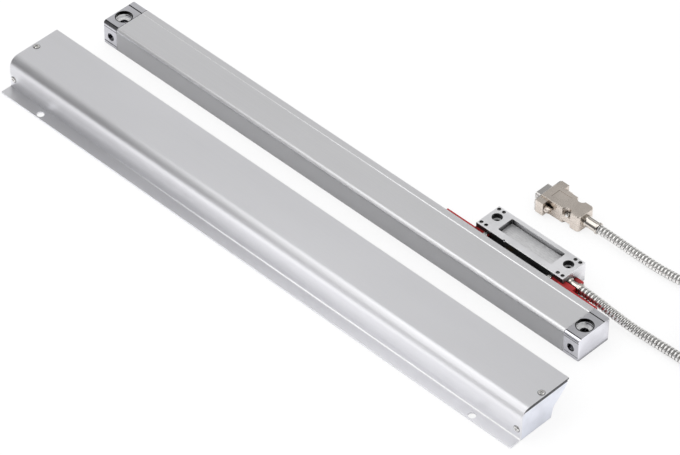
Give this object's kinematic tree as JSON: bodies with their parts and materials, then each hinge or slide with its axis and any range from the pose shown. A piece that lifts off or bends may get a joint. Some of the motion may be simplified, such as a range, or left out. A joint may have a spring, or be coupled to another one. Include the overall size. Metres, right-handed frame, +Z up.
{
  "type": "linear glass scale",
  "caption": "Enclosed linear glass scale: slim extruded housing with polished end caps, sliding reading head, armoured lead with a D plug, and a loose bent cover.",
  "frame": {"origin": "centre of the housing's flat bottom face, which the scale stands on", "axes": "+X along the housing towards the end where the lead leaves, +Y from the housing towards the reading head, +Z up"},
  "size_m": [0.7046, 0.286, 0.0309],
  "materials": {
    "anodised_housing": "silver matt anodised extrusion",
    "polished_caps": "polished plated metal",
    "seal_rubber": "black, soft",
    "screw_steel": "plain steel fastener",
    "scale_glass": "polished glass with a fine grating",
    "silicone_bond": "pale elastic bond",
    "head_metal": "satin machined and anodised",
    "label_metal": "bare satin plate",
    "blade_steel": "thin ground steel",
    "carriage_metal": "black anodised",
    "bearing_steel": "ground bearing steel",
    "board_laminate": "green laminate",
    "dark_plastic": "dark moulded plastic",
    "ribbon_film": "thin printed film",
    "red_plastic": "red moulded plastic",
    "gland_nickel": "bright nickel",
    "hose_steel": "wound flexible steel armour",
    "tie_nylon": "white nylon",
    "hood_nickel": "warm satin nickel on a casting",
    "shell_tin": "tinned steel",
    "plug_plastic": "dark moulded insulator",
    "pin_gold": "thin gold plate",
    "cover_anodised": "silver matt anodised sheet",
    "cover_end_metal": "fine milled aluminium"
  },
  "bodies": {
    "scale": {"housing": "anodised_housing", "end_cap_left": "polished_caps", "end_cap_right": "polished_caps", "cap_gasket_left": "seal_rubber", "cap_gasket_right": "seal_rubber", "cap_screws": "screw_steel", "glass_scale": "scale_glass", "glass_bonds": "silicone_bond", "lip_seal_upper": "seal_rubber", "lip_seal_lower": "seal_rubber", "cover_sheet": "cover_anodised", "cover_end_left": "cover_end_metal", "cover_end_right": "cover_end_metal", "cover_screws": "screw_steel"},
    "head": {"head_block": "head_metal", "head_cover": "head_metal", "head_screws": "screw_steel", "label_plate": "label_metal", "blade": "blade_steel", "blade_clamp": "blade_steel", "clamp_screws": "screw_steel", "circuit_board": "board_laminate", "board_screws": "screw_steel", "lead_connector": "dark_plastic", "inner_lead": "dark_plastic", "signal_ribbon": "ribbon_film", "coupling_wire": "blade_steel", "carriage": "carriage_metal", "roller_axles": "screw_steel", "lamp_bracket": "carriage_metal", "lamp_board": "board_laminate", "lamp_lens": "scale_glass", "scanning_reticle": "scale_glass", "photocell_board": "board_laminate", "photocell_array": "dark_plastic", "transport_bracket_left": "red_plastic", "transport_bracket_right": "red_plastic", "bracket_screws": "screw_steel", "cable_gland": "gland_nickel", "gland_collar": "gland_nickel", "lead_out": "hose_steel", "lead_back": "hose_steel", "lead_coil": "hose_steel", "coil_tie": "tie_nylon", "plug_hood_lower": "hood_nickel", "plug_hood_upper": "hood_nickel", "plug_shell": "shell_tin", "plug_insulator": "plug_plastic", "plug_pins": "pin_gold", "hood_screws": "screw_steel", "plug_ferrule": "gland_nickel"},
    "face_roller_1": {"face_roller_1": "bearing_steel"},
    "face_roller_2": {"face_roller_2": "bearing_steel"},
    "face_roller_3": {"face_roller_3": "bearing_steel"},
    "edge_roller_1": {"edge_roller_1": "bearing_steel"},
    "edge_roller_2": {"edge_roller_2": "bearing_steel"},
    "jackscrew_near": {"jackscrew_near": "hood_nickel"},
    "jackscrew_far": {"jackscrew_far": "hood_nickel"}
  },
  "joints": [
    {"name": "head_travel", "type": "slide", "parent": "scale", "child": "head", "axis": [1, 0, 0], "range_m": [-0.3647, 0.0353]},
    {"name": "face_roller_1_spin", "type": "hinge", "parent": "head", "child": "face_roller_1", "pos_m": [0.1407, -0.003, 0.01155], "axis": [0, 1, 0], "range_deg": [-8400, 840]},
    {"name": "face_roller_2_spin", "type": "hinge", "parent": "head", "child": "face_roller_2", "pos_m": [0.1887, -0.003, 0.01155], "axis": [0, 1, 0], "range_deg": [-8400, 840]},
    {"name": "face_roller_3_spin", "type": "hinge", "parent": "head", "child": "face_roller_3", "pos_m": [0.1647, -0.0088, 0.01155], "axis": [0, 1, 0], "range_deg": [-8400, 840]},
    {"name": "edge_roller_1_spin", "type": "hinge", "parent": "head", "child": "edge_roller_1", "pos_m": [0.1387, 0.00175, 0.0075], "axis": [0, 0, 1], "range_deg": [-840, 8400]},
    {"name": "edge_roller_2_spin", "type": "hinge", "parent": "head", "child": "edge_roller_2", "pos_m": [0.1907, 0.00175, 0.0075], "axis": [0, 0, 1], "range_deg": [-840, 8400]},
    {"name": "jackscrew_near_turn", "type": "hinge", "parent": "head", "child": "jackscrew_near", "pos_m": [0.127, 0.0851, 0.0078], "axis": [-1, 0, 0], "continuous": true},
    {"name": "jackscrew_far_turn", "type": "hinge", "parent": "head", "child": "jackscrew_far", "pos_m": [0.127, 0.1101, 0.0078], "axis": [-1, 0, 0], "continuous": true}
  ],
  "couplings": [
    {"joint": "face_roller_1_spin", "follows": "head_travel", "rad_per_m": 400},
    {"joint": "face_roller_2_spin", "follows": "head_travel", "rad_per_m": 400},
    {"joint": "face_roller_3_spin", "follows": "head_travel", "rad_per_m": 400},
    {"joint": "edge_roller_1_spin", "follows": "head_travel", "rad_per_m": -400},
    {"joint": "edge_roller_2_spin", "follows": "head_travel", "rad_per_m": -400}
  ]
}
